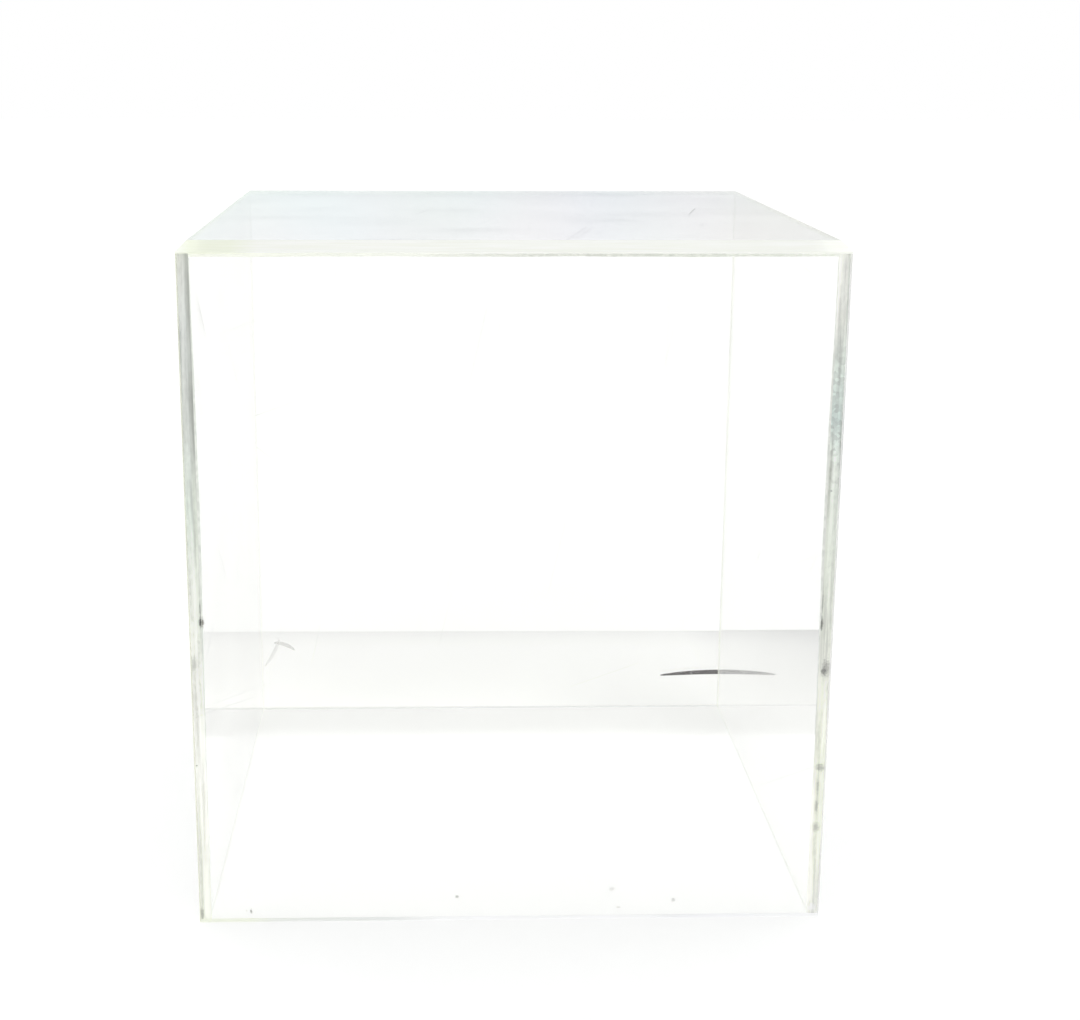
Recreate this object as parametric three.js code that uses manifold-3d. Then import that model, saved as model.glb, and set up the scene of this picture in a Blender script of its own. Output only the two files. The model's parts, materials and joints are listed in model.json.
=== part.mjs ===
// Clear acrylic display case: four walls and a lid panel, solvent-cemented into a box that is open below.
// Millimetres, +Z up. The origin is the centre of the open mouth, in the plane of the bottom rim.
import * as THREE from 'three';
import { mergeVertices } from 'three/addons/utils/BufferGeometryUtils.js';
import Module from 'manifold-3d';

const wasm = await Module();
wasm.setup();

// Driving dimensions
const caseWidth = 355.6; // outside, left to right
const caseDepth = 355.6; // outside, front to back
const wallHeight = 381.0; // bottom rim to the underside of the top panel
const wallSheet = 6.35; // thickness of the four walls
const topSheet = 6.35; // thickness of the top panel
const topBevel = 5.6; // 45 degree bevel round the top panel's upper edge
const rimEase = 0.5; // broken arris along the outside of the bottom rim
const cornerEase = 0.5; // broken arris down the four outside corners

// The side walls stand between the front and back walls.
const innerDepth = caseDepth - 2 * wallSheet;

// Corner cut sizes of an outline, counter-clockwise from the lower left corner
const square = [0, 0, 0, 0];

// A rectangle with 45 degree cuts at its corners. A cut of 0 leaves the corner square.
function cutRectangle(x0, x1, y0, y1, [lowerLeft, lowerRight, upperRight, upperLeft]) {
  const corners = [
    { x: x0, y: y0, cut: lowerLeft, before: [0, 1], after: [1, 0] },
    { x: x1, y: y0, cut: lowerRight, before: [-1, 0], after: [0, 1] },
    { x: x1, y: y1, cut: upperRight, before: [0, -1], after: [-1, 0] },
    { x: x0, y: y1, cut: upperLeft, before: [1, 0], after: [0, -1] },
  ];
  const points = [];
  for (const { x, y, cut, before, after } of corners) {
    points.push(new THREE.Vector2(x + cut * before[0], y + cut * before[1]));
    if (cut > 0) points.push(new THREE.Vector2(x + cut * after[0], y + cut * after[1]));
  }
  return new THREE.Shape(points);
}

// Extrusions of an outline along each axis. The outline's own x and y become the two axes named first.
function alongZ(outline, z0, z1) {
  const geometry = new THREE.ExtrudeGeometry(outline, { depth: z1 - z0, bevelEnabled: false });
  return geometry.translate(0, 0, z0);
}

function alongY(outlineXZ, y0, y1) {
  const geometry = new THREE.ExtrudeGeometry(outlineXZ, { depth: y1 - y0, bevelEnabled: false });
  return geometry.rotateX(Math.PI / 2).translate(0, y1, 0);
}

function alongX(outlineYZ, x0, x1) {
  const geometry = new THREE.ExtrudeGeometry(outlineYZ, { depth: x1 - x0, bevelEnabled: false });
  return geometry.rotateZ(Math.PI / 2).rotateY(Math.PI / 2).translate(x0, 0, 0);
}

function toManifold(geometry) {
  const bare = geometry.clone();
  bare.deleteAttribute('normal');
  bare.deleteAttribute('uv');
  const merged = mergeVertices(bare, 1e-4);
  return new wasm.Manifold(new wasm.Mesh({
    numProp: 3,
    vertProperties: new Float32Array(merged.attributes.position.array),
    triVerts: new Uint32Array(merged.index.array),
  }));
}

function toGeometry(solid) {
  const mesh = solid.getMesh();
  const geometry = new THREE.BufferGeometry();
  geometry.setAttribute('position', new THREE.BufferAttribute(new Float32Array(mesh.vertProperties), 3));
  geometry.setIndex(new THREE.BufferAttribute(new Uint32Array(mesh.triVerts), 1));
  geometry.computeVertexNormals();
  return geometry;
}

// A sheet panel is what its plan, front and side outlines have in common.
function sheetPanel({ size, plan = square, front = square, side = square }) {
  const [halfX, halfY] = [size.x / 2, size.y / 2];
  const blanks = [
    alongZ(cutRectangle(-halfX, halfX, -halfY, halfY, plan), 0, size.z),
    alongY(cutRectangle(-halfX, halfX, 0, size.z, front), -halfY, halfY),
    alongX(cutRectangle(-halfY, halfY, 0, size.z, side), -halfX, halfX),
  ];
  const [first, ...others] = blanks.map(toManifold);
  return toGeometry(others.reduce((solid, blank) => solid.intersect(blank), first));
}

function acrylic(tint) {
  return new THREE.MeshStandardMaterial({
    color: tint, roughness: 0.06, metalness: 0, transparent: true, opacity: 0.35,
  });
}

function addPanel(group, name, geometry, tint, place, turn = 0) {
  const panel = new THREE.Mesh(geometry, acrylic(tint));
  panel.name = name;
  panel.position.copy(place);
  panel.rotation.z = turn;
  group.add(panel);
}

// Front and back walls run the full width. Their outer face is at -Y before they are turned into place.
function longWall() {
  return sheetPanel({
    size: new THREE.Vector3(caseWidth, wallSheet, wallHeight),
    plan: [cornerEase, cornerEase, 0, 0],
    front: [rimEase, rimEase, 0, 0],
    side: [rimEase, 0, 0, 0],
  });
}

// Side walls butt against the inner faces of the front and back walls. Their outer face is at +X.
function shortWall() {
  return sheetPanel({
    size: new THREE.Vector3(wallSheet, innerDepth, wallHeight),
    front: [0, rimEase, 0, 0],
  });
}

// The top panel lies over all four walls, flush with their outer faces, with its upper edge bevelled.
function topPanel() {
  return sheetPanel({
    size: new THREE.Vector3(caseWidth, caseDepth, topSheet),
    plan: [cornerEase, cornerEase, cornerEase, cornerEase],
    front: [0, 0, topBevel, topBevel],
    side: [0, 0, topBevel, topBevel],
  });
}

const displayCase = new THREE.Group();
displayCase.name = 'display_case';

const frontToBack = (caseDepth - wallSheet) / 2; // case centre to the middle of the front or back wall
const sideToSide = (caseWidth - wallSheet) / 2; // case centre to the middle of a side wall

addPanel(displayCase, 'front_panel', longWall(), 0xdce8e2, new THREE.Vector3(0, -frontToBack, 0));
addPanel(displayCase, 'back_panel', longWall(), 0xdce8e2, new THREE.Vector3(0, frontToBack, 0), Math.PI);
addPanel(displayCase, 'left_panel', shortWall(), 0xd2dfd8, new THREE.Vector3(-sideToSide, 0, 0), Math.PI);
addPanel(displayCase, 'right_panel', shortWall(), 0xd2dfd8, new THREE.Vector3(sideToSide, 0, 0));
addPanel(displayCase, 'top_panel', topPanel(), 0xe0e8ec, new THREE.Vector3(0, 0, wallHeight));

export default displayCase;
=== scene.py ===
# Clear acrylic display case: five cemented sheets, open below, dressed for a soft pale studio.
import bpy
import bmesh
import json
import math
from mathutils import Matrix, Vector

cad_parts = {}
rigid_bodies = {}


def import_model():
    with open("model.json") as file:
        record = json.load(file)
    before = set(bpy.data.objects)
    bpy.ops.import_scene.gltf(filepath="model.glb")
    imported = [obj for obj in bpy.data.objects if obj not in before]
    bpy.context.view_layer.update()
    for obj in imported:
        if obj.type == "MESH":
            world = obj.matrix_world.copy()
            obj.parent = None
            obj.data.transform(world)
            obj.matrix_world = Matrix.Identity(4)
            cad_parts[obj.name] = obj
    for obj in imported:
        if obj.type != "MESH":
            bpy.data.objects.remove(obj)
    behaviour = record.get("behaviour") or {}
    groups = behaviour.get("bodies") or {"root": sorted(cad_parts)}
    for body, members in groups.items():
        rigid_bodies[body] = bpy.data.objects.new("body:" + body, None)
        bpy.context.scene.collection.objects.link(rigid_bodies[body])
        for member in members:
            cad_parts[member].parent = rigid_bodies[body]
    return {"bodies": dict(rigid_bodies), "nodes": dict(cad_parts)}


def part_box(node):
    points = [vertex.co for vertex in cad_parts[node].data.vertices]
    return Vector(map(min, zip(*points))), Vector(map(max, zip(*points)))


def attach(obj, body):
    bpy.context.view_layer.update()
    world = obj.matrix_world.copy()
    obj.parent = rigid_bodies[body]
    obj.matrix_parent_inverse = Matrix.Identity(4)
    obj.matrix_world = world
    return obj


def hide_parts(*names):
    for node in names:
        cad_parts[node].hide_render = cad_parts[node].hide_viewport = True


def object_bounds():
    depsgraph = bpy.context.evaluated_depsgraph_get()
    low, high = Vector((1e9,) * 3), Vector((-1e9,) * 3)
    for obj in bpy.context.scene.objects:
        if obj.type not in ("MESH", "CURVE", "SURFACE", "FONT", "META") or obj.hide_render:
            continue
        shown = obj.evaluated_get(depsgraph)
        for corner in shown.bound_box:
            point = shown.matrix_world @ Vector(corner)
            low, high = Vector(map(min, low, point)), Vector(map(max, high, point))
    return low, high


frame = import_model()
cadBox = [list(corner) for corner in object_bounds()]
caseBody = next(iter(frame["bodies"]))
mm = 0.001
print("frame loaded:", ", ".join(sorted(frame["nodes"])))


# The photo's own viewpoint
cameraView = {
    "place": (-44.4, -1138.3, 484.4),  # mm from the middle of the mouth
    "turnRight": 1.644,  # degrees off the case's own depth direction
    "tiltDown": 14.132,
    "roll": 0.186,
    "lens": 60.97,
    "shiftX": 0.053,  # the picture is framed a little to the right of where the lens points
}


def makeCamera(view):
    data = bpy.data.cameras.new("case_camera")
    data.lens = view["lens"]
    data.shift_x = view["shiftX"]
    camera = bpy.data.objects.new("case_camera", data)
    turn = Matrix.Rotation(-math.radians(view["turnRight"]), 4, "Z")
    tilt = Matrix.Rotation(math.radians(90 - view["tiltDown"]), 4, "X")
    roll = Matrix.Rotation(math.radians(view["roll"]), 4, "Z")
    place = Matrix.Translation(Vector(view["place"]) * mm)
    camera.matrix_world = place @ turn @ tilt @ roll
    bpy.context.collection.objects.link(camera)
    bpy.context.scene.camera = camera


makeCamera(cameraView)
print("camera placed")


# Small helpers that build node trees
white = (1.0, 1.0, 1.0)


def feed(tree, socket, value):
    if isinstance(value, bpy.types.NodeSocket):
        tree.links.new(value, socket)
    else:
        socket.default_value = value


def addNode(tree, kind, settings=None, **values):
    node = tree.nodes.new(kind)
    for key, value in (settings or {}).items():
        setattr(node, key, value)
    for key, value in values.items():
        feed(tree, node.inputs[key.replace("_", " ")], value)
    return node


def calc(tree, operation, *values, clamp=False):
    node = tree.nodes.new("ShaderNodeMath")
    node.operation = operation
    node.use_clamp = clamp
    for socket, value in zip(node.inputs, values):
        feed(tree, socket, value)
    return node.outputs[0]


def vectorCalc(tree, operation, *values, output=0):
    node = tree.nodes.new("ShaderNodeVectorMath")
    node.operation = operation
    sockets = [socket for socket in node.inputs if socket.enabled]
    for socket, value in zip(sockets, values):
        feed(tree, socket, value)
    return node.outputs[output]


def ramp(tree, value, low, high, toLow=0.0, toHigh=1.0):
    node = tree.nodes.new("ShaderNodeMapRange")
    for socket, number in zip(node.inputs, (value, low, high, toLow, toHigh)):
        feed(tree, socket, number)
    return node.outputs[0]


def mixTone(tree, amount, toneA, toneB):
    # With colours, a Mix node has them at inputs 6 and 7 and its result at output 2
    node = tree.nodes.new("ShaderNodeMix")
    node.data_type = "RGBA"
    feed(tree, node.inputs[0], amount)
    for socket, tone in ((node.inputs[6], toneA), (node.inputs[7], toneB)):
        feed(tree, socket, tone if isinstance(tone, bpy.types.NodeSocket) else (*tone, 1.0))
    return node.outputs[2]


def toneRamp(tree, value, stops):
    node = tree.nodes.new("ShaderNodeValToRGB")
    elements = node.color_ramp.elements
    while len(elements) < len(stops):
        elements.new(0.5)
    for element, (position, tone) in zip(elements, stops):
        element.position = position
        element.color = (*tone, 1.0)
    feed(tree, node.inputs[0], value)
    return node.outputs[0]


def newGroup(name, inputs, outputs):
    tree = bpy.data.node_groups.new(name, "ShaderNodeTree")
    for label, value in inputs.items():
        kind = "NodeSocketVector" if isinstance(value, tuple) else "NodeSocketFloat"
        socket = tree.interface.new_socket(label, in_out="INPUT", socket_type=kind)
        socket.default_value = value
    for label in outputs:
        tree.interface.new_socket(label, in_out="OUTPUT", socket_type="NodeSocketFloat")
    return tree, tree.nodes.new("NodeGroupInput").outputs, tree.nodes.new("NodeGroupOutput").inputs


def placeGroup(tree, group, **values):
    node = tree.nodes.new("ShaderNodeGroup")
    node.node_tree = group
    for key, value in values.items():
        feed(tree, node.inputs[key], value)
    return node.outputs


# Effects that several materials share; Place is in mm across and up a sheet, and through it
effects = {
    "seedStep": (137.0, 61.0, 89.0),
    "hairlineAngles": (0.35, 1.35, 2.45),  # radians
    "hairlineStretch": (160.0, 1.8, 1.3),  # mm along a hairline, across it and through the sheet
    "hairlineCut": (0.74, 0.78),  # noise from clear to scratched
    "patchScale": 0.018,  # patches with hairlines in one direction
    "patchCut": (0.5, 0.6),
    "wipeTurn": 0.5,  # radians
    "wipeShift": (5.3, 2.1, 7.7),
    "wipeScale": (0.010, 0.034, 0.3),
    "wipeTwist": 0.4,
    "wipeCut": (0.48, 0.75),
    "speckLeast": 0.3,  # the smallest speck, as a share of Size
    "speckRim": (1.15, 0.85),
    "strokeBlur": 0.12,  # mm
    "strokeEnd": 0.06,
    "strokeRagged": 0.9,
    "strokeCut": (0.2, 0.42),
    "strokeLeast": 0.75,  # how strong its weakest places are
    "spotRagged": 0.8,
    "spotBite": 0.7,  # how much the noise eats from its rim
    "spotRim": (1.0, 0.55),
    "bandRim": (1.0, 0.35),
}


def makeScratchGroup():
    # Hairlines in a few directions, each broken up along its length
    tree, given, result = newGroup(
        "hairlineScratches", {"Place": (0.0, 0.0, 0.0), "Amount": 0.5, "Seed": 0.0}, ["Mask"])
    seed = given["Seed"]
    shift = addNode(tree, "ShaderNodeCombineXYZ", X=seed, Y=seed, Z=seed).outputs[0]
    moved = vectorCalc(tree, "MULTIPLY_ADD", shift, effects["seedStep"], given["Place"])
    patch = addNode(tree, "ShaderNodeTexNoise", Vector=moved, Scale=effects["patchScale"],
                    Detail=0.0).outputs["Color"]
    shares = addNode(tree, "ShaderNodeSeparateColor", Color=patch).outputs
    lines = None
    for share, angle in zip(shares, effects["hairlineAngles"]):
        along = addNode(tree, "ShaderNodeMapping", {"vector_type": "TEXTURE"}, Vector=moved,
                        Rotation=(0.0, 0.0, angle), Scale=effects["hairlineStretch"]).outputs[0]
        streak = addNode(tree, "ShaderNodeTexNoise", Vector=along, Scale=1.0, Detail=1.0).outputs[0]
        line = calc(tree, "MULTIPLY", ramp(tree, streak, *effects["hairlineCut"]),
                    ramp(tree, share, *effects["patchCut"]))
        lines = line if lines is None else calc(tree, "MAXIMUM", lines, line)
    feed(tree, result["Mask"], calc(tree, "MULTIPLY", lines, given["Amount"]))
    return tree


def makeHazeGroup():
    # Wiped-on smears and fingertip haze
    tree, given, result = newGroup(
        "wipedHaze", {"Place": (0.0, 0.0, 0.0), "Amount": 0.5, "Seed": 0.0}, ["Mask"])
    swept = addNode(tree, "ShaderNodeMapping", Vector=given["Place"], Location=effects["wipeShift"],
                    Rotation=(0.0, 0.0, effects["wipeTurn"]), Scale=effects["wipeScale"]).outputs[0]
    smear = addNode(tree, "ShaderNodeTexNoise", {"noise_dimensions": "4D"}, Vector=swept, W=given["Seed"],
                    Scale=1.0, Detail=3.0, Distortion=effects["wipeTwist"]).outputs[0]
    smear = ramp(tree, smear, *effects["wipeCut"])
    feed(tree, result["Mask"], calc(tree, "MULTIPLY", smear, given["Amount"]))
    return tree


def makeDustGroup():
    # Small specks, one cell in a few holding one
    tree, given, result = newGroup(
        "dustSpecks", {"Place": (0.0, 0.0, 0.0), "Spacing": 14.0, "Size": 0.35, "Share": 0.3}, ["Mask"])
    spacing = given["Spacing"]
    spread = addNode(tree, "ShaderNodeCombineXYZ", X=spacing, Y=spacing, Z=spacing).outputs[0]
    scaled = vectorCalc(tree, "DIVIDE", given["Place"], spread)
    cells = addNode(tree, "ShaderNodeTexVoronoi", Vector=scaled, Scale=1.0)
    draw = addNode(tree, "ShaderNodeSeparateColor", Color=cells.outputs["Color"]).outputs
    radius = calc(tree, "MULTIPLY", given["Size"], ramp(tree, draw[1], 0.0, 1.0, effects["speckLeast"], 1.0))
    away = calc(tree, "DIVIDE", cells.outputs["Distance"], calc(tree, "DIVIDE", radius, spacing))
    kept = calc(tree, "LESS_THAN", draw[0], given["Share"])
    feed(tree, result["Mask"], calc(tree, "MULTIPLY", ramp(tree, away, *effects["speckRim"]), kept))
    return tree


def makeStrokeGroup():
    # One bowed scratch from Start to End that thins to nothing at both ends
    tree, given, result = newGroup(
        "scratchStroke",
        {"Place": (0.0, 0.0, 0.0), "Start": (0.0, 0.0, 0.0), "End": (1.0, 0.0, 0.0), "Bow": 0.0,
         "Width": 0.5},
        ["Mask"])
    reach = vectorCalc(tree, "SUBTRACT", given["End"], given["Start"])
    gone = vectorCalc(tree, "SUBTRACT", given["Place"], given["Start"])
    squared = vectorCalc(tree, "DOT_PRODUCT", reach, reach, output=1)
    share = calc(tree, "DIVIDE", vectorCalc(tree, "DOT_PRODUCT", gone, reach, output=1), squared, clamp=True)
    # 1 at mid-length and 0 at the ends
    swell = calc(tree, "MULTIPLY", calc(tree, "MULTIPLY", share, calc(tree, "SUBTRACT", 1.0, share)), 4.0)
    part = addNode(tree, "ShaderNodeSeparateXYZ", Vector=reach).outputs
    turned = calc(tree, "MULTIPLY", part[1], -1.0)
    side = addNode(tree, "ShaderNodeCombineXYZ", X=turned, Y=part[0]).outputs[0]
    off = calc(tree, "DIVIDE", vectorCalc(tree, "DOT_PRODUCT", gone, side, output=1),
               calc(tree, "SQRT", squared))
    off = calc(tree, "ABSOLUTE", calc(tree, "SUBTRACT", off, calc(tree, "MULTIPLY", given["Bow"], swell)))
    half = calc(tree, "MULTIPLY", given["Width"], calc(tree, "MULTIPLY", calc(tree, "SQRT", swell), 0.5))
    inside = ramp(tree, calc(tree, "SUBTRACT", off, half), effects["strokeBlur"], -effects["strokeBlur"])
    inside = calc(tree, "MULTIPLY", inside, ramp(tree, swell, 0.0, effects["strokeEnd"]))
    ragged = addNode(tree, "ShaderNodeTexNoise", Vector=given["Place"], Scale=effects["strokeRagged"],
                     Detail=2.0).outputs[0]
    ragged = ramp(tree, ragged, *effects["strokeCut"], effects["strokeLeast"], 1.0)
    feed(tree, result["Mask"], calc(tree, "MULTIPLY", inside, ragged))
    return tree


def makeSpotGroup():
    # One ragged spot, longer one way than the other; it marks specks of dirt and trapped air, and also spots
    # of painted shade and one painted highlight
    tree, given, result = newGroup(
        "raggedSpot", {"Place": (0.0, 0.0, 0.0), "Middle": (0.0, 0.0, 0.0), "Size": (1.0, 1.0, 1.0)}, ["Mask"])
    off = vectorCalc(tree, "SUBTRACT", given["Place"], given["Middle"])
    off = vectorCalc(tree, "MULTIPLY", vectorCalc(tree, "DIVIDE", off, given["Size"]), (1.0, 1.0, 0.0))
    ragged = addNode(tree, "ShaderNodeTexNoise", Vector=given["Place"], Scale=effects["spotRagged"],
                     Detail=2.0).outputs[0]
    reach = calc(tree, "ADD", vectorCalc(tree, "LENGTH", off, output=1),
                 calc(tree, "MULTIPLY", ragged, effects["spotBite"]))
    feed(tree, result["Mask"], ramp(tree, reach, *effects["spotRim"]))
    return tree


def makeBandGroup():
    # A soft streak that runs up a joint between two heights, all in mm
    tree, given, result = newGroup(
        "jointBand",
        {"Across": 0.0, "Up": 0.0, "Middle": 1.0, "Half": 1.0, "Low": 0.0, "High": 100.0, "Soft": 20.0},
        ["Mask"])
    off = calc(tree, "ABSOLUTE", calc(tree, "SUBTRACT", given["Across"], given["Middle"]))
    near = ramp(tree, calc(tree, "DIVIDE", off, given["Half"]), *effects["bandRim"])
    rise = calc(tree, "DIVIDE", calc(tree, "SUBTRACT", given["Up"], given["Low"]), given["Soft"], clamp=True)
    fall = calc(tree, "DIVIDE", calc(tree, "SUBTRACT", given["High"], given["Up"]), given["Soft"], clamp=True)
    feed(tree, result["Mask"], calc(tree, "MULTIPLY", near, calc(tree, "MULTIPLY", rise, fall)))
    return tree


hairlines = makeScratchGroup()
wipedHaze = makeHazeGroup()
dustSpecks = makeDustGroup()
scratchStroke = makeStrokeGroup()
raggedSpot = makeSpotGroup()
jointBand = makeBandGroup()
print("shared effects made")


# The acrylic, seen through its faces, at its sawn edges and in its cemented joints
low, high = (Vector(corner) for corner in cadBox)
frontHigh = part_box("front_panel")[1]
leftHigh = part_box("left_panel")[1]
wallTop = frontHigh[2]
insideX = -leftHigh[0]  # half the clear width
insideY = -frontHigh[1]  # half the clear depth
acrylic = {
    "ior": 1.49,
    "faceTone": (0.996, 0.996, 0.988),
    "hazeTone": (0.95, 0.955, 0.95),
    "hazeShare": 0.5,
    "scratchTone": (0.80, 0.82, 0.81),
    "dustTone": (0.45, 0.44, 0.40),
    # dark spots on the front sheet: grit, and painted shade at its corners
    "gritAndShadeTone": (0.12, 0.11, 0.09),
    "faceRough": 0.004,
    "hazeRough": 0.06,
    "scratchRough": 0.3,
    "strokeRough": 0.2,
    "waveScale": 0.014,  # the slow waves of a cast sheet
    "waveHeight": 0.00003,  # metres
    "edgeTone": (0.93, 0.945, 0.88),
    "edgePale": (0.97, 0.98, 0.95),
    "edgeMix": (0.35, 0.7),
    "edgeStretch": (0.03, 0.25, 0.9),  # the sander's lines
    "edgeRoughCut": (0.3, 0.8),
    "edgeRough": (0.08, 0.2),
    "edgeHeight": 0.00003,  # metres
    "edgeClear": 0.2,
    # painted glow on the edges
    "edgeGlow": 0.15,
    "edgeShadow": (0.86, 0.90, 0.88),
    "endShade": (0.96, 0.97, 0.955),  # painted shade on the ends that face left and right
    "endFacing": (0.5, 0.7),
    "shadowTone": (0.982, 0.986, 0.984),
}
seam = {
    "topTone": (0.95, 0.96, 0.89),  # joints under the top panel
    "topDepth": 0.2,  # mm below the walls' upper ends that still belong to them
    "bubbleTone": (0.50, 0.52, 0.50),
    "bubbles": {"Spacing": 3.4, "Size": 0.7, "Share": 0.05},
    # dark spots in a joint's front end: dirt, and painted shade
    "dirtAndShadeTone": (0.03, 0.03, 0.028),
    "seedStep": 450.0,
    "streaks": (0.45, 0.018, 0.018),
    "crackle": (0.7, 0.25, 0.25),
    "crackleShare": 0.3,
    "patternCut": (0.52, 0.78),
    "contrast": (0.86, 1.07),
    "heightSpan": 400.0,  # mm that the tones up a joint are spread over
    "bandCut": (0.65, 0.4),
    "bandLeast": 0.6,  # share of a band's strength where the cement is cloudiest
    "cellSize": 2.2,  # mm between the cracks where the cement has crazed
    "crazeMiddle": 3.2,  # mm outward from the inner face, as the bands' own
    "crazeHalf": 9.0,
    "backFadeIn": 0.95,  # how far joints at the back turn to topTone, seen from inside the sheet
    "backFadeOut": 0.3,  # and from outside
    "thinCut": (0.3, 0.42),
    "cover": (0.86, 0.99),  # how much a thin place hides, and a full one
    "rough": 0.5,
    "glow": 0.25,  # painted glow, standing in for light that the sheets pipe into their joints
    "shadowTone": (0.85, 0.88, 0.86),
}
planeAxes = {"x": (1, 2, 0), "y": (0, 2, 1), "z": (0, 1, 2)}  # sheet normal: across, up, depth


def ownPlace(tree):
    # The three parts of a point's place, in mm
    own = addNode(tree, "ShaderNodeTexCoord").outputs["Object"]
    return addNode(tree, "ShaderNodeSeparateXYZ", Vector=vectorCalc(tree, "SCALE", own, 1 / mm)).outputs


def sheetPlace(tree, normal):
    part = ownPlace(tree)
    across, up, depth = (part[axis] for axis in planeAxes[normal])
    return addNode(tree, "ShaderNodeCombineXYZ", X=across, Y=up, Z=depth).outputs[0], across, depth


def newMaterial(name):
    material = bpy.data.materials.new(name)
    material.use_nodes = True
    material.node_tree.nodes.clear()
    return material, material.node_tree


def finishGlass(tree, shader, shadowTone):
    # Lamps shine through the sheet instead of being stopped by it
    clear = addNode(tree, "ShaderNodeBsdfTransparent", Color=(*shadowTone, 1.0)).outputs[0]
    choose = tree.nodes.new("ShaderNodeMixShader")
    rays = tree.nodes.new("ShaderNodeLightPath")
    feed(tree, choose.inputs[0], rays.outputs["Is Shadow Ray"])
    feed(tree, choose.inputs[1], shader)
    feed(tree, choose.inputs[2], clear)
    output = tree.nodes.new("ShaderNodeOutputMaterial")
    feed(tree, output.inputs[0], choose.outputs[0])


def faceMaterial(name, look):
    material, tree = newMaterial(name)
    place, across, depth = sheetPlace(tree, look["normal"])
    scratches = placeGroup(tree, hairlines, Place=place, Amount=look["scratches"], Seed=look["seed"])["Mask"]
    haze = placeGroup(tree, wipedHaze, Place=place, Amount=look["haze"], Seed=look["seed"])["Mask"]
    dust = placeGroup(tree, dustSpecks, Place=place, Share=look["dust"])["Mask"]
    hazy = calc(tree, "MULTIPLY", haze, acrylic["hazeShare"])
    tone = mixTone(tree, hazy, acrylic["faceTone"], acrylic["hazeTone"])
    tone = mixTone(tree, scratches, tone, acrylic["scratchTone"])
    tone = mixTone(tree, dust, tone, acrylic["dustTone"])
    rough = calc(tree, "ADD", calc(tree, "MULTIPLY", haze, acrylic["hazeRough"]),
                 calc(tree, "MULTIPLY", scratches, acrylic["scratchRough"]))
    # A stroke or spot is on one side of the sheet only: the face towards the front
    onFace = calc(tree, "MULTIPLY", calc(tree, "LESS_THAN", depth, look["middle"]),
                  calc(tree, "LESS_THAN", calc(tree, "ABSOLUTE", across), insideX / mm))
    for mark in look["strokes"]:
        stroke = placeGroup(tree, scratchStroke, Place=place, Start=(*mark["start"], 0.0),
                            End=(*mark["end"], 0.0), Bow=mark["bow"], Width=mark["width"])["Mask"]
        stroke = calc(tree, "MULTIPLY", stroke, calc(tree, "MULTIPLY", onFace, mark["strength"]))
        tone = mixTone(tree, stroke, tone, mark["tone"])
        rough = calc(tree, "ADD", rough, calc(tree, "MULTIPLY", stroke, acrylic["strokeRough"]))
    for mark in look["spots"]:
        spot = placeGroup(tree, raggedSpot, Place=place, Middle=(*mark["middle"], 0.0),
                          Size=(*mark["size"], 1.0))["Mask"]
        spot = calc(tree, "MULTIPLY", spot, calc(tree, "MULTIPLY", onFace, mark["strength"]))
        tone = mixTone(tree, spot, tone, acrylic["gritAndShadeTone"])
    wave = addNode(tree, "ShaderNodeTexNoise", Vector=place, Scale=acrylic["waveScale"],
                   Detail=0.0).outputs[0]
    bump = addNode(tree, "ShaderNodeBump", Height=wave, Strength=1.0,
                   Distance=acrylic["waveHeight"]).outputs[0]
    shader = addNode(tree, "ShaderNodeBsdfPrincipled", Base_Color=tone, Metallic=0.0, IOR=acrylic["ior"],
                     Roughness=calc(tree, "ADD", rough, acrylic["faceRough"]), Transmission_Weight=1.0,
                     Normal=bump)
    finishGlass(tree, shader.outputs[0], acrylic["shadowTone"])
    return material


def edgeMaterial(name, look):
    # Sawn edges, sanded and polished until they are pale and a little clear, with a painted glow that makes
    # them paler still
    material, tree = newMaterial(name)
    place, across, depth = sheetPlace(tree, look["normal"])
    streaks = addNode(tree, "ShaderNodeMapping", Vector=place, Scale=acrylic["edgeStretch"]).outputs[0]
    lines = addNode(tree, "ShaderNodeTexNoise", Vector=streaks, Scale=1.0, Detail=3.0).outputs[0]
    tone = mixTone(tree, ramp(tree, lines, *acrylic["edgeMix"]), acrylic["edgeTone"], acrylic["edgePale"])
    stain = toneRamp(tree, ramp(tree, across, low.x / mm, high.x / mm), look["edgeTintAcross"])
    tone = vectorCalc(tree, "MULTIPLY", tone, stain)
    # Painted shade: faces that point left or right are darker
    facing = addNode(tree, "ShaderNodeTexCoord").outputs["Normal"]
    sideways = calc(tree, "ABSOLUTE", addNode(tree, "ShaderNodeSeparateXYZ", Vector=facing).outputs[0])
    ends = mixTone(tree, ramp(tree, sideways, *acrylic["endFacing"]), white, acrylic["endShade"])
    tone = vectorCalc(tree, "MULTIPLY", tone, ends)
    rough = ramp(tree, lines, *acrylic["edgeRoughCut"], *acrylic["edgeRough"])
    bump = addNode(tree, "ShaderNodeBump", Height=lines, Strength=1.0,
                   Distance=acrylic["edgeHeight"]).outputs[0]
    shader = addNode(tree, "ShaderNodeBsdfPrincipled", Base_Color=tone, Metallic=0.0, IOR=acrylic["ior"],
                     Roughness=rough, Transmission_Weight=acrylic["edgeClear"], Emission_Color=tone,
                     Emission_Strength=acrylic["edgeGlow"], Normal=bump)
    finishGlass(tree, shader.outputs[0], acrylic["edgeShadow"])
    return material


def addBands(tree, tone, bands, inward, up, cloud):
    for band in bands:
        foot, head = band["between"]
        most = band["strength"]
        mask = placeGroup(tree, jointBand, Across=inward, Up=up, Middle=band["middle"], Half=band["half"],
                          Low=foot, High=head, Soft=band["soft"])["Mask"]
        amount = ramp(tree, cloud, *seam["bandCut"], most * seam["bandLeast"], most)
        tone = mixTone(tree, calc(tree, "MULTIPLY", mask, amount), tone, band["tone"])
    return tone


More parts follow.
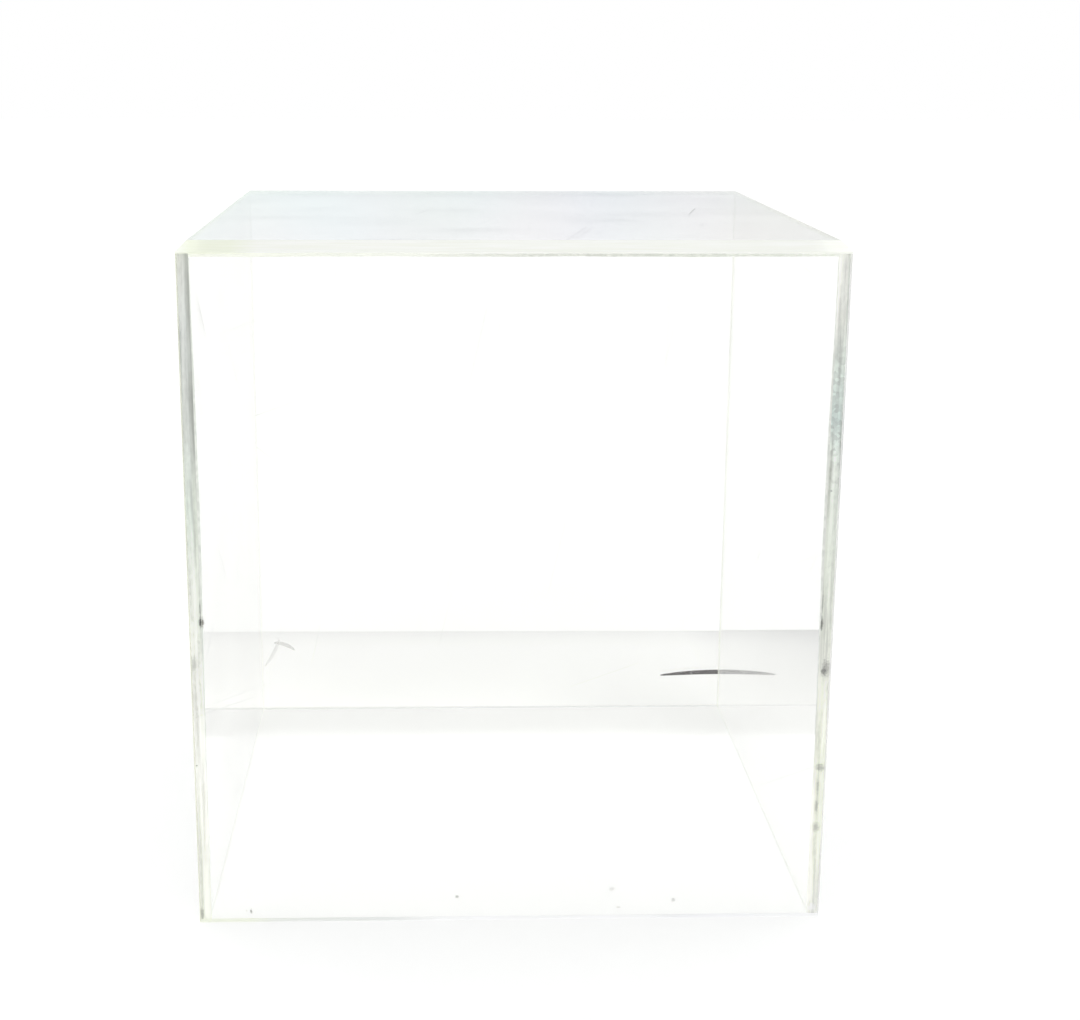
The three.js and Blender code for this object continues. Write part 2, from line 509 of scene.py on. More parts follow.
def addCraze(tree, tone, craze, joint, inward, up):
    # Small cells, each a little paler or darker
    cells = addNode(tree, "ShaderNodeTexVoronoi", Vector=joint, Scale=1 / seam["cellSize"])
    flecks = addNode(tree, "ShaderNodeSeparateColor", Color=cells.outputs["Color"]).outputs[0]
    foot, head = craze["between"]
    swing = craze["strength"]
    mask = placeGroup(tree, jointBand, Across=inward, Up=up, Middle=seam["crazeMiddle"],
                      Half=seam["crazeHalf"], Low=foot, High=head, Soft=craze["soft"])["Mask"]
    fleck = calc(tree, "MULTIPLY", mask, ramp(tree, flecks, 0.0, 1.0, -swing, swing))
    return vectorCalc(tree, "SCALE", tone, calc(tree, "ADD", fleck, 1.0))


def fadeBack(tree, tone, up, along):
    # Joints at the back are paler, and those under the top panel have its tone
    inner = tree.nodes.new("ShaderNodeNewGeometry").outputs["Backfacing"]
    fade = ramp(tree, inner, 0.0, 1.0, seam["backFadeOut"], seam["backFadeIn"])
    pale = calc(tree, "MULTIPLY", calc(tree, "GREATER_THAN", along, 0.0), fade)
    under = calc(tree, "GREATER_THAN", up, wallTop / mm - seam["topDepth"])
    return mixTone(tree, calc(tree, "MAXIMUM", pale, under), tone, seam["topTone"])


def sideJointTone(tree, look, joint, parts, cloud):
    # The tones up a side wall's joint, with its streaks and its crazing; its heights and bands hold painted
    # shade, darker higher up and in streaks along it, and painted light, paler low down; and the dark spots
    # in its front end, some dirt and some painted shade
    across, up, along = parts
    span = seam["heightSpan"]
    stops = [(rise / span, stopTone) for rise, stopTone in look["heights"]]
    tone = toneRamp(tree, calc(tree, "DIVIDE", up, span), stops)
    inward = calc(tree, "SUBTRACT", calc(tree, "ABSOLUTE", across), insideX / mm)
    tone = addBands(tree, tone, look["bands"], inward, up, cloud)
    tone = addCraze(tree, tone, look["craze"], joint, inward, up)
    tone = fadeBack(tree, tone, up, along)
    atFront = calc(tree, "LESS_THAN", along, 0.0)
    for spot in look["jointSpots"]:
        mark = placeGroup(tree, raggedSpot, Place=joint, Middle=(*spot["middle"], 0.0),
                          Size=(*spot["size"], 1.0))["Mask"]
        mark = calc(tree, "MULTIPLY", calc(tree, "MULTIPLY", mark, atFront), spot["strength"])
        tone = mixTone(tree, mark, tone, spot.get("tone", seam["dirtAndShadeTone"]))
    return tone


def seamMaterial(name, look):
    # Where the cement has melted two sheets together: cloudy and streaked, with trapped bubbles and a painted
    # glow
    material, tree = newMaterial(name)
    place = ownPlace(tree)
    alongAxis, upAxis, acrossAxis = planeAxes[look["normal"]]
    across, up, along = place[acrossAxis], place[upAxis], place[alongAxis]
    joint = addNode(tree, "ShaderNodeCombineXYZ", X=across, Y=up, Z=along).outputs[0]
    shifted = vectorCalc(tree, "ADD", joint, (0.0, look["seed"] * seam["seedStep"], 0.0))
    cloud = addNode(tree, "ShaderNodeTexNoise", Vector=vectorCalc(tree, "MULTIPLY", shifted, seam["streaks"]),
                    Scale=1.0, Detail=2.5, Roughness=0.55).outputs[0]
    crackle = addNode(tree, "ShaderNodeTexNoise", Scale=1.0, Detail=2.0,
                      Vector=vectorCalc(tree, "MULTIPLY", shifted, seam["crackle"])).outputs[0]
    bubbles = placeGroup(tree, dustSpecks, Place=joint, **seam["bubbles"])["Mask"]
    pattern = calc(tree, "ADD", cloud, calc(tree, "MULTIPLY", crackle, seam["crackleShare"]))
    pattern = ramp(tree, pattern, *seam["patternCut"])
    if look["normal"] == "x":
        tone = sideJointTone(tree, look, joint, (across, up, along), cloud)
    else:
        tone = addNode(tree, "ShaderNodeRGB").outputs[0]
        tone.default_value = (*seam["topTone"], 1.0)
    tone = vectorCalc(tree, "SCALE", tone, ramp(tree, pattern, 0.0, 1.0, *seam["contrast"]))
    tone = mixTone(tree, bubbles, tone, seam["bubbleTone"])
    glow = vectorCalc(tree, "MULTIPLY", tone, vectorCalc(tree, "MULTIPLY", tone, tone))
    cover = ramp(tree, cloud, *seam["thinCut"], *seam["cover"])
    shader = addNode(tree, "ShaderNodeBsdfPrincipled", Base_Color=tone, Metallic=0.0, Roughness=seam["rough"],
                     Specular_IOR_Level=0.0, Emission_Color=glow, Emission_Strength=seam["glow"],
                     Alpha=calc(tree, "MAXIMUM", cover, bubbles))
    finishGlass(tree, shader.outputs[0], seam["shadowTone"])
    return material


# What each sheet shows, in mm across and up it; a joint's heights, bands and spots are in mm up the joint and
# across it, the bands' from the wall's inner face outward, and an edge tint, which lightens or darkens an
# edge, runs from 0 to 1 across the case
darkInk = (0.004, 0.003, 0.003)
scuffTone = (0.60, 0.59, 0.57)
panelLooks = {
    "front_panel": {
        "normal": "y", "seed": 1.0, "scratches": 0.5, "haze": 0.5, "dust": 0.10,
        "strokes": [
            {"start": (-136.8, 154.0), "end": (-128.6, 169.6), "bow": -0.8, "width": 1.9, "tone": scuffTone,
             "strength": 0.6},
            {"start": (-131.6, 167.6), "end": (-120.0, 163.2), "bow": 1.2, "width": 2.2, "tone": scuffTone,
             "strength": 0.95},
        ],
        "spots": [
            {"middle": (-148.4, 6.6), "size": (1.5, 3.4), "strength": 0.85},
            {"middle": (-151.0, 7.0), "size": (0.9, 1.6), "strength": 0.5},
            {"middle": (-30.9, 14.4), "size": (2.9, 1.9), "strength": 0.7},
            {"middle": (93.2, 11.2), "size": (2.8, 2.8), "strength": 0.55},
            {"middle": (57.8, 18.4), "size": (4.2, 3.4), "strength": 0.34},
            {"middle": (61.8, 7.0), "size": (4.4, 1.4), "strength": 0.4},
            {"middle": (-171.9, 31.0), "size": (1.6, 3.2), "strength": 0.5},
            # The next two spots are painted shade at the corners, about 177 mm up, not grit
            {"middle": (-170.3, 179.4), "size": (2.0, 5.6), "strength": 0.95},
            {"middle": (170.9, 176.5), "size": (1.2, 7.0), "strength": 0.6},
        ],
        "edgeTintAcross": [
            (0.0, (0.94, 0.94, 0.86)), (0.08, (0.94, 0.94, 0.86)), (0.12, (0.87, 0.86, 0.88)),
            (0.30, (0.86, 0.85, 0.90)), (0.38, (1.03, 1.0, 1.08)), (0.70, (1.03, 1.0, 1.08)),
            (0.76, (0.96, 0.93, 1.02)), (0.86, (1.0, 0.97, 1.06)), (1.0, (1.03, 1.0, 1.08))]},
    "back_panel": {
        "normal": "y", "seed": 2.0, "scratches": 0.6, "haze": 0.7, "dust": 0.12, "spots": [],
        "edgeTintAcross": [(0.0, (1.01, 0.99, 1.03)), (0.4, (1.03, 1.0, 1.07)), (1.0, (1.03, 1.0, 1.07))],
        "strokes": [
            {"start": (127.0, 25.6), "end": (217.0, 25.6), "bow": 2.4, "width": 3.6,
             "tone": darkInk, "strength": 1},
        ]},
    "left_panel": {
        "normal": "x", "seed": 3.0, "scratches": 0.5, "haze": 0.5, "dust": 0.10, "strokes": [], "spots": [],
        "edgeTintAcross": [(0.0, (1.01, 1.005, 1.02)), (1.0, (1.01, 1.005, 1.02))],
        # Painted shade and painted light: the joint darkens higher up and in streaks along it, and is paler
        # low down
        "heights": [
            (0, (0.89, 0.90, 0.86)), (60, (0.93, 0.94, 0.90)), (90, (0.99, 0.99, 0.97)),
            (125, (0.98, 0.98, 0.96)), (150, (0.88, 0.885, 0.86)), (205, (0.895, 0.91, 0.88)),
            (240, (0.81, 0.86, 0.82)), (290, (0.75, 0.77, 0.755)), (345, (0.735, 0.75, 0.745)),
            (381, (0.755, 0.76, 0.74))],
        "bands": [
            {"middle": 0.9, "half": 2.0, "between": (245, 420), "soft": 30, "strength": 0.95,
             "tone": (0.44, 0.46, 0.43)},
            {"middle": 0.9, "half": 2.0, "between": (150, 275), "soft": 22, "strength": 0.85,
             "tone": (0.66, 0.69, 0.63)},
            {"middle": 1.4, "half": 0.9, "between": (85, 150), "soft": 12, "strength": 0.9,
             "tone": (0.82, 0.84, 0.78)},
            {"middle": 0.2, "half": 4.4, "between": (-30, 95), "soft": 25, "strength": 1.0,
             "tone": (1.0, 1.0, 0.96)},
            {"middle": 4.9, "half": 0.8, "between": (-20, 80), "soft": 15, "strength": 0.7,
             "tone": (0.82, 0.84, 0.77)},
            {"middle": 6.2, "half": 2.0, "between": (10, 140), "soft": 20, "strength": 0.6,
             "tone": (1.0, 1.0, 0.98)},
        ],
        "craze": {"between": (110, 190), "soft": 20, "strength": 0.05},
        "jointSpots": [
            # The next two spots are painted shade, where the joint darkens about 180 mm up
            {"middle": (-171.7, 178.0), "size": (2.2, 6.0), "strength": 0.95},
            {"middle": (-171.7, 185.0), "size": (1.3, 11.0), "strength": 0.55},
            {"middle": (-176.2, 154.0), "size": (4.4, 9.0), "strength": 0.2},
            {"middle": (-177.0, 3.5), "size": (2.4, 7.0), "strength": 0.35},
        ]},
    "right_panel": {
        "normal": "x", "seed": 4.0, "scratches": 0.5, "haze": 0.5, "dust": 0.10, "strokes": [], "spots": [],
        "edgeTintAcross": [(0.0, (1.01, 1.005, 1.02)), (1.0, (1.01, 1.005, 1.02))],
        # Painted shade and painted light: the joint darkens higher up and in streaks along it, and is paler
        # low down
        "heights": [
            (0, (0.94, 0.95, 0.91)), (28, (0.90, 0.91, 0.85)), (55, (0.87, 0.89, 0.81)),
            (78, (0.85, 0.87, 0.79)), (95, (0.89, 0.91, 0.83)), (122, (0.93, 0.94, 0.88)),
            (148, (0.87, 0.88, 0.83)), (205, (0.80, 0.83, 0.77)), (264, (0.77, 0.80, 0.76)),
            (291, (0.58, 0.645, 0.625)), (317, (0.70, 0.75, 0.715)), (343, (0.75, 0.76, 0.725)),
            (381, (0.86, 0.86, 0.84))],
        "bands": [
            {"middle": 0.6, "half": 1.6, "between": (160, 290), "soft": 25, "strength": 0.9,
             "tone": (0.60, 0.62, 0.57)},
            {"middle": 6.0, "half": 0.9, "between": (225, 420), "soft": 30, "strength": 0.6,
             "tone": (0.62, 0.66, 0.62)},
            {"middle": 0.0, "half": 2.1, "between": (322, 430), "soft": 30, "strength": 1.0,
             "tone": (1.0, 1.0, 0.97)},
            {"middle": 2.3, "half": 1.4, "between": (14, 150), "soft": 16, "strength": 0.75,
             "tone": (0.84, 0.86, 0.77)},
            {"middle": 0.2, "half": 2.6, "between": (-30, 100), "soft": 20, "strength": 1.0,
             "tone": (1.0, 1.0, 0.95)},
        ],
        "craze": {"between": (242, 342), "soft": 22, "strength": 0.13},
        "jointSpots": [
            # The next two spots are painted shade, where the joint darkens about 180 mm up
            {"middle": (171.8, 176.0), "size": (1.8, 8.0), "strength": 0.7},
            {"middle": (171.6, 188.0), "size": (1.2, 18.0), "strength": 0.3},
            {"middle": (175.6, 149.5), "size": (5.0, 9.5), "strength": 0.38},
            {"middle": (174.3, 147.6), "size": (2.6, 5.0), "strength": 0.6},
            {"middle": (175.4, 90.0), "size": (5.6, 4.5), "strength": 0.35},
            {"middle": (174.0, 78.5), "size": (2.4, 8.0), "strength": 0.22},
            {"middle": (174.0, 67.0), "size": (2.4, 8.0), "strength": 0.26},
            {"middle": (174.4, 53.8), "size": (4.4, 6.0), "strength": 0.3},
            # A bubble at the foot of the joint, its highlight painted in white inside a darker rim
            {"middle": (174.4, 3.6), "size": (8.0, 9.0), "strength": 0.12},
            {"middle": (174.4, 3.8), "size": (4.4, 5.4), "strength": 1.0, "tone": (1.0, 1.0, 1.0)},
        ]},
    "top_panel": {
        "normal": "z", "seed": 5.0, "scratches": 0.6, "haze": 0.8, "dust": 0.12, "strokes": [], "spots": [],
        "edgeTintAcross": [
            (0.0, (0.985, 0.99, 0.985)), (0.02, (0.93, 0.95, 0.86)), (0.08, (0.93, 0.95, 0.86)),
            (0.12, (0.985, 0.985, 0.985)), (0.3, (1.0, 1.0, 1.0)), (1.0, (1.0, 1.0, 1.0))]},
}
arris = {
    "free": 0.2,  # mm radius of the polished arrises
    "seam": 0.12,  # mm radius beside a cemented face
    "steps": 3,
    "sharp": 0.3,  # radians between two faces that make an arris
    "weldGap": 0.01,  # mm that the walls' cemented ends and the top panel's under side stand back
}
squareOn = 0.9  # a normal with this much of an axis faces along it
slack = 0.1 * mm  # for picking out the top panel's own levels
gap = arris["weldGap"] * mm
faceSlot, edgeSlot, seamSlot = range(3)

topCorners = [vertex.co for vertex in frame["nodes"]["top_panel"].data.vertices]
topFlat = max(corner.x for corner in topCorners if corner.z > high.z - slack)  # half the flat top
topLand = min(corner.z for corner in topCorners if corner.z > wallTop + slack)  # where the bevel starts


def stackBox(rings):
    # A closed body through level rectangles, from the lowest up: (z, x0, x1, y0, y1)
    bm = bmesh.new()
    loops = []
    for z, x0, x1, y0, y1 in rings:
        loops.append([bm.verts.new(p) for p in ((x0, y0, z), (x1, y0, z), (x1, y1, z), (x0, y1, z))])
    bm.faces.new(reversed(loops[0]))
    bm.faces.new(loops[-1])
    for below, above in zip(loops, loops[1:]):
        for i in range(4):
            j = (i + 1) % 4
            bm.faces.new((below[i], below[j], above[j], above[i]))
    return bm


def wallSlot(face):
    # Front and back walls
    if abs(face.normal.y) > squareOn:
        return faceSlot
    return seamSlot if face.normal.z > squareOn else edgeSlot


def sideSlot(face):
    if abs(face.normal.x) > squareOn:
        return faceSlot
    return edgeSlot if face.normal.z < -squareOn else seamSlot


def topSlot(face):
    return faceSlot if abs(face.normal.z) > squareOn else edgeSlot


def makePanel(name, bm, slotOf):
    look = dict(panelLooks[name])
    lowest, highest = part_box(name)
    depthAxis = planeAxes[look["normal"]][2]
    look["middle"] = (lowest[depthAxis] + highest[depthAxis]) / 2 / mm
    bm.normal_update()
    for face in bm.faces:
        face.material_index = slotOf(face)
        face.smooth = True
    weights = bm.edges.layers.float.new("bevel_weight_edge")
    for edge in bm.edges:
        if len(edge.link_faces) == 2 and edge.calc_face_angle() > arris["sharp"]:
            slots = {face.material_index for face in edge.link_faces}
            edge[weights] = arris["seam"] / arris["free"] if seamSlot in slots else 1.0
    mesh = bpy.data.meshes.new(name + "_sheet")
    bm.to_mesh(mesh)
    bm.free()
    mesh.materials.append(faceMaterial(name + "_face", look))
    mesh.materials.append(edgeMaterial(name + "_edge", look))
    mesh.materials.append(seamMaterial(name + "_seam", look))
    panel = bpy.data.objects.new(name + "_sheet", mesh)
    bpy.context.collection.objects.link(panel)
    rounding = panel.modifiers.new("polished_arris", "BEVEL")
    rounding.width = arris["free"] * mm
    rounding.segments = arris["steps"]
    rounding.limit_method = "WEIGHT"
    rounding.harden_normals = True
    rounding.material = edgeSlot
    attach(panel, caseBody)
    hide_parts(name)


def makeWall(name, back, slotOf):
    # The wall's upper end stands back by the gap, and its upright ends by their own amount
    lowest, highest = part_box(name)
    rect = (lowest[0], highest[0], lowest[1] + back, highest[1] - back)
    makePanel(name, stackBox([(lowest[2], *rect), (highest[2] - gap, *rect)]), slotOf)


for name in ("front_panel", "back_panel"):
    makeWall(name, 0.0, wallSlot)
for name in ("left_panel", "right_panel"):
    makeWall(name, gap, sideSlot)

full = (low.x, high.x, low.y, high.y)
inset = high.x - topFlat
crown = (low.x + inset, high.x - inset, low.y + inset, high.y - inset)
makePanel("top_panel", stackBox([(wallTop + gap, *full), (topLand, *full), (high.z, *crown)]), topSlot)
print("sheets made")


# Cement squeezed out along the inside corners
bead = {
    "topSize": 2.2,  # mm from the corner along each sheet
    "sideShare": 0.7,  # of that size, along the side walls
    "clearance": 1.6,  # of that size, kept free of other beads at the corners
    "wallSize": 0.3,
    "wallSwell": 1.0,
    "wallStart": 110.0,  # the upright beads end this high above the mouth
    "gap": 0.02,
    "stations": 40,
    "arc": 4,
    "wander": [(0.06, 19, 40, 0), (0.05, 47, 0, 60)],  # share, waves along it, shift with its start's x and y
    "topTones": [  # from the left end of the case to its right end, 0 to 1
        (0.0, (0.93, 0.94, 0.88)), (0.30, (0.95, 0.96, 0.92)), (0.48, (0.84, 0.85, 0.82)),
        (0.58, (0.72, 0.73, 0.70)), (0.76, (0.76, 0.78, 0.74)), (1.0, (0.86, 0.88, 0.84))],
    "wallTones": [(0.0, (0.72, 0.75, 0.71)), (1.0, (0.70, 0.72, 0.69))],
    "paleTone": (1.0, 1.0, 0.97),
    "paleShare": 0.4,
    "paleCut": (0.4, 0.7),
    "grainScale": 300.0,
    "grainHeight": 0.0001,  # metres
    "grainBump": 0.3,
    "roughCut": (0.3, 0.7),
    "rough": (0.15, 0.35),
    # painted glow on the cement
    "glow": 0.2,
    "shadowTone": (0.8, 0.83, 0.8),
}


def beadMaterial(name, tones):
    material, tree = newMaterial(name)
    own = addNode(tree, "ShaderNodeTexCoord").outputs["Object"]
    across = addNode(tree, "ShaderNodeSeparateXYZ", Vector=own).outputs[0]
    grain = addNode(tree, "ShaderNodeTexNoise", Vector=own, Scale=bead["grainScale"], Detail=2.0).outputs[0]
    tone = toneRamp(tree, ramp(tree, across, low.x, high.x), tones)
    pale = ramp(tree, grain, *bead["paleCut"], 0.0, bead["paleShare"])
    tone = mixTone(tree, pale, tone, bead["paleTone"])
    bump = addNode(tree, "ShaderNodeBump", Height=grain, Strength=bead["grainBump"],
                   Distance=bead["grainHeight"]).outputs[0]
    glow = vectorCalc(tree, "MULTIPLY", tone, vectorCalc(tree, "MULTIPLY", tone, tone))
    shader = addNode(tree, "ShaderNodeBsdfPrincipled", Base_Color=tone, Metallic=0.0, IOR=acrylic["ior"],
                     Roughness=ramp(tree, grain, *bead["roughCut"], *bead["rough"]), Transmission_Weight=0.0,
                     Emission_Color=glow, Emission_Strength=bead["glow"], Normal=bump)
    finishGlass(tree, shader.outputs[0], bead["shadowTone"])
    return material


def addBead(bm, start, end, sideA, sideB, size, swell=0.0):
    # A hollow fillet between two sheets whose size wanders, and may swell at mid-length
    start, end, sideA, sideB = (Vector(v) for v in (start, end, sideA, sideB))
    loops = []
    for i in range(bead["stations"] + 1):
        share = i / bead["stations"]
        wander = 1.0
        for swing, waves, shiftX, shiftY in bead["wander"]:
            wander += swing * math.sin(waves * share + start.x * shiftX + start.y * shiftY)
        reach = (size + swell * math.sin(math.pi * share) ** 2) * mm * wander
        corner = start.lerp(end, share) + (sideA + sideB) * bead["gap"] * mm
        ring = [corner]
        for k in range(bead["arc"] + 1):
            turn = math.pi / 2 * k / bead["arc"]
            ring.append(corner + sideA * reach * (1 - math.cos(turn)) + sideB * reach * (1 - math.sin(turn)))
        loops.append([bm.verts.new(point) for point in ring])
    bm.faces.new(loops[0])
    bm.faces.new(reversed(loops[-1]))
    count = len(loops[0])
    for one, two in zip(loops, loops[1:]):
        for k in range(count):
            m = (k + 1) % count
            bm.faces.new((one[k], one[m], two[m], two[k]))


def finishBead(name, bm, node, material):
    bmesh.ops.recalc_face_normals(bm, faces=bm.faces[:])
    mesh = bpy.data.meshes.new(name)
    bm.to_mesh(mesh)
    bm.free()
    mesh.materials.append(material)
    piece = bpy.data.objects.new(name, mesh)
    bpy.context.collection.objects.link(piece)
    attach(piece, caseBody)
    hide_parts(node)


topCement = beadMaterial("top_cement", bead["topTones"])
wallCement = beadMaterial("wall_cement", bead["wallTones"])
step = bead["topSize"] * bead["clearance"] * mm
down = (0, 0, -1)
bm = bmesh.new()
for side in (-1, 1):
    addBead(bm, (-insideX, side * insideY, wallTop), (insideX, side * insideY, wallTop), (0, -side, 0), down,
            bead["topSize"])
    addBead(bm, (side * insideX, step - insideY, wallTop), (side * insideX, insideY - step, wallTop),
            (-side, 0, 0), down, bead["topSize"] * bead["sideShare"])
finishBead("top_panel_bead", bm, "top_panel", topCement)
for side, node in ((-1, "left_panel"), (1, "right_panel")):
    bm = bmesh.new()
    foot = (side * insideX, -insideY, bead["wallStart"] * mm)
    head = (side * insideX, -insideY, wallTop - step)
    addBead(bm, foot, head, (-side, 0, 0), (0, 1, 0), bead["wallSize"], bead["wallSwell"])
    finishBead(node + "_bead", bm, node, wallCement)
print("cement beads made")


# The surface that the case stands on and the light around it; places are in metres
studio = {
    "floorSize": 24.0,
    "floorTone": (0.895, 0.90, 0.895),
    "floorPale": (0.905, 0.91, 0.905),
    "grainScale": 220.0,
    "grainCut": (0.3, 0.7),
    "liftNear": 0.17,  # extra pale seen by eye, glass and gloss
    "liftFar": 0.22,
    "liftFrom": (0.5, 2.5),
    "liftEye": 0.03,
    "stripFront": 0.115,  # seen through the sheets, a strip of painted shade on the floor starts here
    "stripEdge": 0.3635,  # and ends this far back
    "stripSlant": 0.012,
    "stripSoft": (-0.004, 0.016),
    "stripEnds": (0.30, 0.40),  # it fades out this far to the left and right
    "stripShade": 0.015,  # the strip's part under the case
    "stripSide": 0.03,  # more to the right
    "stripSideFrom": (0.10, 0.15),
    "deckShade": 0.035,  # its part behind the case
    "deckLine": 0.11,  # darker at its far side
    "deckLinePower": 2.0,
    "deckFade": 0.06,
    "deckSide": 0.32,  # and darker still to the right
    "deckSideFrom": (0.17, 0.28),
    "deckGlow": 0.165,  # paler next to the case
    "deckGlowPower": 2.6,
    "deckGlowSide": 0.35,  # share of that to the right
    "deckGlowFrom": (0.03, 0.10),
    "deckTone": (1.0, 1.0, 0.955),
    "frontLift": 0.10,  # painted light: paler in front of the strip
    "sideLift": (0.18, 0.05),  # and beside it, left and right
    "sideLiftFrom": (-0.1, 0.1),
    "skyTone": (0.90, 0.90, 0.90),  # what lights the case
    "reflectLow": (0.92, 0.93, 0.94),
    "reflectHigh": (0.66, 0.68, 0.70),
    "reflectRise": 0.8,
    "patchScale": 9.0,  # soft patches that shiny surfaces pick up from the room
    "patchSwing": (0.30, 0.16, 0.18),
    "patchBase": (0.83, 0.92, 0.91),
    "patchSlope": (1.03, 0.93),  # left to right
    "patchSlopeFrom": (-0.10, 0.17),
}


def deckShading(tree, across, back):
    # Painted shade behind the case: darker at the strip's far side and right end, and paler next to the case
    front, edge = studio["stripFront"], studio["stripEdge"]
    line = calc(tree, "POWER", ramp(tree, back, edge - studio["deckFade"], edge), studio["deckLinePower"])
    line = calc(tree, "MULTIPLY", line, studio["deckLine"])
    corner = calc(tree, "MULTIPLY", ramp(tree, back, front, edge),
                  ramp(tree, across, *studio["deckSideFrom"], 0.0, studio["deckSide"]))
    near = calc(tree, "POWER", ramp(tree, back, high.y, edge, 1.0, 0.0), studio["deckGlowPower"])
    glow = ramp(tree, across, *studio["deckGlowFrom"], studio["deckGlow"],
                studio["deckGlow"] * studio["deckGlowSide"])
    dark = calc(tree, "ADD", calc(tree, "ADD", line, corner), studio["deckShade"])
    return calc(tree, "SUBTRACT", dark, calc(tree, "MULTIPLY", near, glow))


def stripShading(tree, place, back):
    # The painted shade that the floor gets where it is seen through the sheets, less the painted light beside
    # the case, and where the strip is
    across = place[0]
    front = studio["stripFront"]
    inStrip = calc(tree, "GREATER_THAN", back, front)
    behind = calc(tree, "GREATER_THAN", place[1], high.y)
    shade = ramp(tree, back, *(front + soft for soft in studio["stripSoft"]), -studio["frontLift"],
                 studio["stripShade"])
    under = calc(tree, "MULTIPLY", calc(tree, "SUBTRACT", inStrip, behind, clamp=True),
                 ramp(tree, across, *studio["stripSideFrom"], 0.0, studio["stripSide"]))
    deck = calc(tree, "MULTIPLY", behind, deckShading(tree, across, back))
    shade = calc(tree, "ADD", shade, calc(tree, "ADD", under, deck))
    within = ramp(tree, calc(tree, "ABSOLUTE", across), *studio["stripEnds"], 1.0, 0.0)
    shade = calc(tree, "MULTIPLY", shade, within)
    aside = calc(tree, "MULTIPLY", calc(tree, "GREATER_THAN", calc(tree, "ABSOLUTE", across), high.x),
                 calc(tree, "SUBTRACT", 1.0, inStrip))
    aside = calc(tree, "MULTIPLY", aside, ramp(tree, across, *studio["sideLiftFrom"], *studio["sideLift"]))
    return calc(tree, "SUBTRACT", shade, aside), calc(tree, "MULTIPLY", inStrip, within)


def floorMaterial():
    material, tree = newMaterial("floor_paper")
    own = addNode(tree, "ShaderNodeTexCoord").outputs["Object"]
    rays = tree.nodes.new("ShaderNodeLightPath").outputs
    grain = addNode(tree, "ShaderNodeTexNoise", Vector=own, Scale=studio["grainScale"], Detail=2.0).outputs[0]
    pale = ramp(tree, grain, *studio["grainCut"])
    tone = mixTone(tree, pale, studio["floorTone"], studio["floorPale"])
    paper = addNode(tree, "ShaderNodeBsdfDiffuse", Color=tone).outputs[0]
    away = vectorCalc(tree, "LENGTH", own, output=1)
    lift = ramp(tree, away, *studio["liftFrom"], studio["liftNear"], studio["liftFar"])
    lift = calc(tree, "ADD", lift, calc(tree, "MULTIPLY", rays["Is Camera Ray"], studio["liftEye"]))
    place = addNode(tree, "ShaderNodeSeparateXYZ", Vector=own).outputs
    back = calc(tree, "ADD", place[1], calc(tree, "MULTIPLY", place[0], studio["stripSlant"]))
    shade, strip = stripShading(tree, place, back)
    through = calc(tree, "MULTIPLY", rays["Is Transmission Ray"],
                   calc(tree, "LESS_THAN", back, studio["stripEdge"]))
    lift = calc(tree, "SUBTRACT", lift, calc(tree, "MULTIPLY", shade, through))
    seen = calc(tree, "ADD", rays["Is Camera Ray"], rays["Is Transmission Ray"], clamp=True)
    seen = calc(tree, "ADD", seen, rays["Is Glossy Ray"], clamp=True)
    glowTone = mixTone(tree, calc(tree, "MULTIPLY", through, strip), white, studio["deckTone"])
    glow = addNode(tree, "ShaderNodeEmission", Color=glowTone, Strength=calc(tree, "MULTIPLY", seen, lift))
    both = tree.nodes.new("ShaderNodeAddShader")
    feed(tree, both.inputs[0], paper)
    feed(tree, both.inputs[1], glow.outputs[0])
    feed(tree, tree.nodes.new("ShaderNodeOutputMaterial").inputs[0], both.outputs[0])
    return material


def makeFloor():
    half = studio["floorSize"] / 2
    mesh = bpy.data.meshes.new("studio_floor")
    corners = [(-half, -half, 0), (half, -half, 0), (half, half, 0), (-half, half, 0)]
    mesh.from_pydata(corners, [], [(0, 1, 2, 3)])
    mesh.materials.append(floorMaterial())
    floor = bpy.data.objects.new("studio_floor", mesh)
    bpy.context.collection.objects.link(floor)


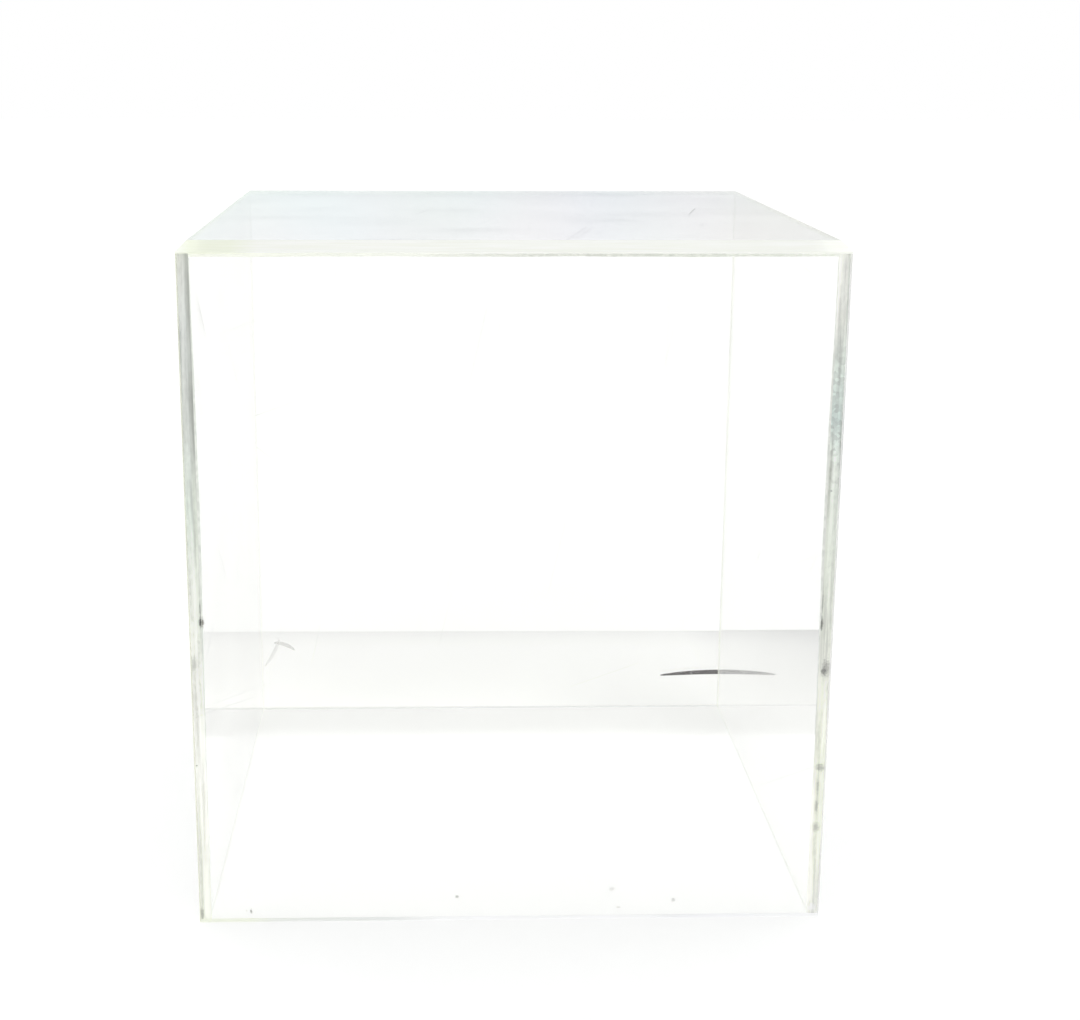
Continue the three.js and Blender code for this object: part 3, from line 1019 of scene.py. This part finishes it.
def makeWorld():
    world = bpy.data.worlds.new("studio_air")
    bpy.context.scene.world = world
    world.use_nodes = True
    tree = world.node_tree
    tree.nodes.clear()
    rays = tree.nodes.new("ShaderNodeLightPath").outputs
    way = addNode(tree, "ShaderNodeTexCoord").outputs["Generated"]
    part = addNode(tree, "ShaderNodeSeparateXYZ", Vector=way).outputs
    patches = addNode(tree, "ShaderNodeTexNoise", Vector=way, Scale=studio["patchScale"], Detail=1.0).outputs
    rise = ramp(tree, part[2], 0.0, studio["reflectRise"])
    gloss = mixTone(tree, rise, studio["reflectLow"], studio["reflectHigh"])
    cast = vectorCalc(tree, "MULTIPLY_ADD", patches[1], studio["patchSwing"], studio["patchBase"])
    slope = ramp(tree, part[0], *studio["patchSlopeFrom"], *studio["patchSlope"])
    gloss = vectorCalc(tree, "SCALE", vectorCalc(tree, "MULTIPLY", gloss, cast), slope)
    tone = mixTone(tree, rays["Is Glossy Ray"], studio["skyTone"], gloss)
    straight = calc(tree, "ADD", rays["Is Camera Ray"], rays["Is Transmission Ray"], clamp=True)
    tone = mixTone(tree, straight, tone, white)
    light = addNode(tree, "ShaderNodeBackground", Color=tone, Strength=1.0).outputs[0]
    feed(tree, tree.nodes.new("ShaderNodeOutputWorld").inputs[0], light)


lamps = {
    "softbox_left": {"place": (-1.3, -0.9, 1.7), "size": 1.2, "power": 5.0},
    "softbox_right": {"place": (1.4, -0.5, 1.5), "size": 1.0, "power": 2.5},
}
lampAim = (0, 0, 0.2)


def makeLamps():
    for name, lamp in lamps.items():
        data = bpy.data.lights.new(name, "AREA")
        data.shape = "SQUARE"
        data.size = lamp["size"]
        data.energy = lamp["power"]
        light = bpy.data.objects.new(name, data)
        light.location = lamp["place"]
        aim = Vector(lampAim) - Vector(lamp["place"])
        light.rotation_euler = aim.to_track_quat("-Z", "Y").to_euler()
        bpy.context.collection.objects.link(light)


makeFloor()
makeWorld()
makeLamps()
bpy.context.scene.view_settings.view_transform = "Standard"
print("studio made")
